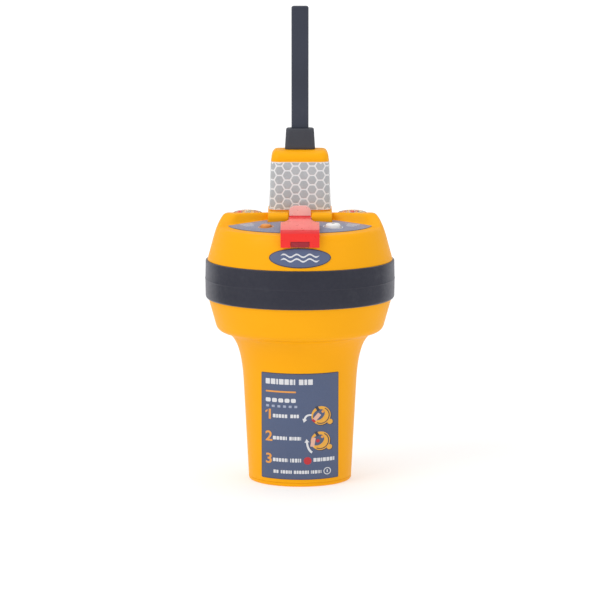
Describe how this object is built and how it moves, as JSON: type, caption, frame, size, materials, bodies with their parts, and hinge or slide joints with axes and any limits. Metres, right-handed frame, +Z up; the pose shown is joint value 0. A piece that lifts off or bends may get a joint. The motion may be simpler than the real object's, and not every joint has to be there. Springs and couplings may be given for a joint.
{
  "type": "emergency position beacon",
  "caption": "Floating emergency position beacon: oval two-part case with rubber band, battery foot, mast with flexible whip antenna, guard flap over the power switch and strobe lenses.",
  "frame": {"origin": "centre of the flat base face", "axes": "+Z up along the whip, front (badge, flap, instruction label) faces -Y, +X to the right seen from the front"},
  "size_m": [0.106, 0.0954, 0.264],
  "materials": {
    "case_yellow": "safety yellow moulded polycarbonate, fine satin texture",
    "band_rubber": "slate grey moulded rubber, fine matt grain",
    "boot_rubber": "slate grey moulded rubber",
    "seal_rubber": "black sealing rubber",
    "whip_coat": "dark slate overmould on a spring blade, satin",
    "stainless": "stainless steel",
    "retro_tape": "retroreflective sheet with a sealed honeycomb pattern",
    "cable_black": "black cable insulation",
    "flap_red": "translucent red polycarbonate",
    "tab_maroon": "dark red polycarbonate",
    "label_blue": "slate blue printed polyester label",
    "badge_blue": "slate blue printed badge",
    "button_red": "red silicone push button",
    "button_white": "white silicone push button",
    "light_orange": "orange diffusing window",
    "spring_steel": "spring steel dome",
    "lens_clear": "clear moulded polycarbonate lens",
    "led_parts": "light emitting diode packages",
    "board_green": "solder-masked circuit board",
    "tinned_can": "tinned steel shield",
    "ceramic": "ceramic patch antenna",
    "black_plastic": "black moulded plastic",
    "cell_wrap": "heat-shrink wrapped lithium cell",
    "foam_grey": "closed-cell foam",
    "cord_orange": "braided buoyant cord"
  },
  "bodies": {
    "case": {"upper_case": "case_yellow", "lower_case": "case_yellow", "bumper_band": "band_rubber", "case_seal": "seal_rubber", "case_screws": "stainless", "base_cap": "case_yellow", "base_seal": "seal_rubber", "base_screws": "stainless", "antenna_mast": "case_yellow", "mast_seal": "seal_rubber", "reflective_tape": "retro_tape", "antenna_boot": "boot_rubber", "whip_root": "whip_coat", "antenna_cable": "cable_black", "flap_pin": "stainless", "tab_anchor": "tab_maroon", "keypad_label": "label_blue", "front_badge": "badge_blue", "instruction_label": "label_blue", "status_light": "light_orange", "switch_domes": "spring_steel", "lens_left": "lens_clear", "lens_right": "lens_clear", "strobe_leds": "led_parts", "strobe_boards": "board_green", "main_board": "board_green", "board_screws": "stainless", "rf_shield": "tinned_can", "gnss_antenna": "ceramic", "buzzer": "black_plastic", "battery_cells": "cell_wrap", "battery_tray": "black_plastic", "battery_pad": "foam_grey", "battery_leads": "cable_black", "water_contacts": "stainless", "lanyard_cord": "cord_orange", "lanyard_band": "seal_rubber"},
    "whip_1": {"whip_segment_1": "whip_coat"},
    "whip_2": {"whip_segment_2": "whip_coat"},
    "whip_3": {"whip_segment_3": "whip_coat"},
    "whip_4": {"whip_tip": "whip_coat"},
    "flap": {"flap": "flap_red"},
    "break_tab": {"break_tab": "tab_maroon"},
    "power_button": {"power_button": "button_red"},
    "test_button": {"test_button": "button_white"}
  },
  "joints": [
    {"name": "flap_hinge", "type": "hinge", "parent": "case", "child": "flap", "pos_m": [0, -0.001, 0.1472], "axis": [-1, 0, 0], "range_deg": [0, 95]},
    {"name": "break_tab_pull", "type": "slide", "parent": "flap", "child": "break_tab", "axis": [0, -1, 0], "range_m": [0, 0.012]},
    {"name": "power_button_press", "type": "slide", "parent": "case", "child": "power_button", "axis": [0, 0, -1], "range_m": [0, 0.0008], "stiffness_N_per_m": 3000},
    {"name": "test_button_press", "type": "slide", "parent": "case", "child": "test_button", "axis": [0, 0, -1], "range_m": [0, 0.0008], "stiffness_N_per_m": 3000},
    {"name": "whip_bend_1", "type": "hinge", "parent": "case", "child": "whip_1", "pos_m": [0, 0.0203, 0.20065], "axis": [1, 0, 0], "range_deg": [-25, 25], "stiffness_Nm_per_rad": 0.05},
    {"name": "whip_bend_2", "type": "hinge", "parent": "whip_1", "child": "whip_2", "pos_m": [0, 0.0203, 0.2169], "axis": [1, 0, 0], "range_deg": [-25, 25], "stiffness_Nm_per_rad": 0.05},
    {"name": "whip_bend_3", "type": "hinge", "parent": "whip_2", "child": "whip_3", "pos_m": [0, 0.0203, 0.23315], "axis": [1, 0, 0], "range_deg": [-25, 25], "stiffness_Nm_per_rad": 0.05},
    {"name": "whip_bend_4", "type": "hinge", "parent": "whip_3", "child": "whip_4", "pos_m": [0, 0.0203, 0.2494], "axis": [1, 0, 0], "range_deg": [-25, 25], "stiffness_Nm_per_rad": 0.05}
  ],
  "couplings": [
    {"joint": "whip_bend_2", "follows": "whip_bend_1", "ratio": 1},
    {"joint": "whip_bend_3", "follows": "whip_bend_1", "ratio": 1},
    {"joint": "whip_bend_4", "follows": "whip_bend_1", "ratio": 1}
  ]
}
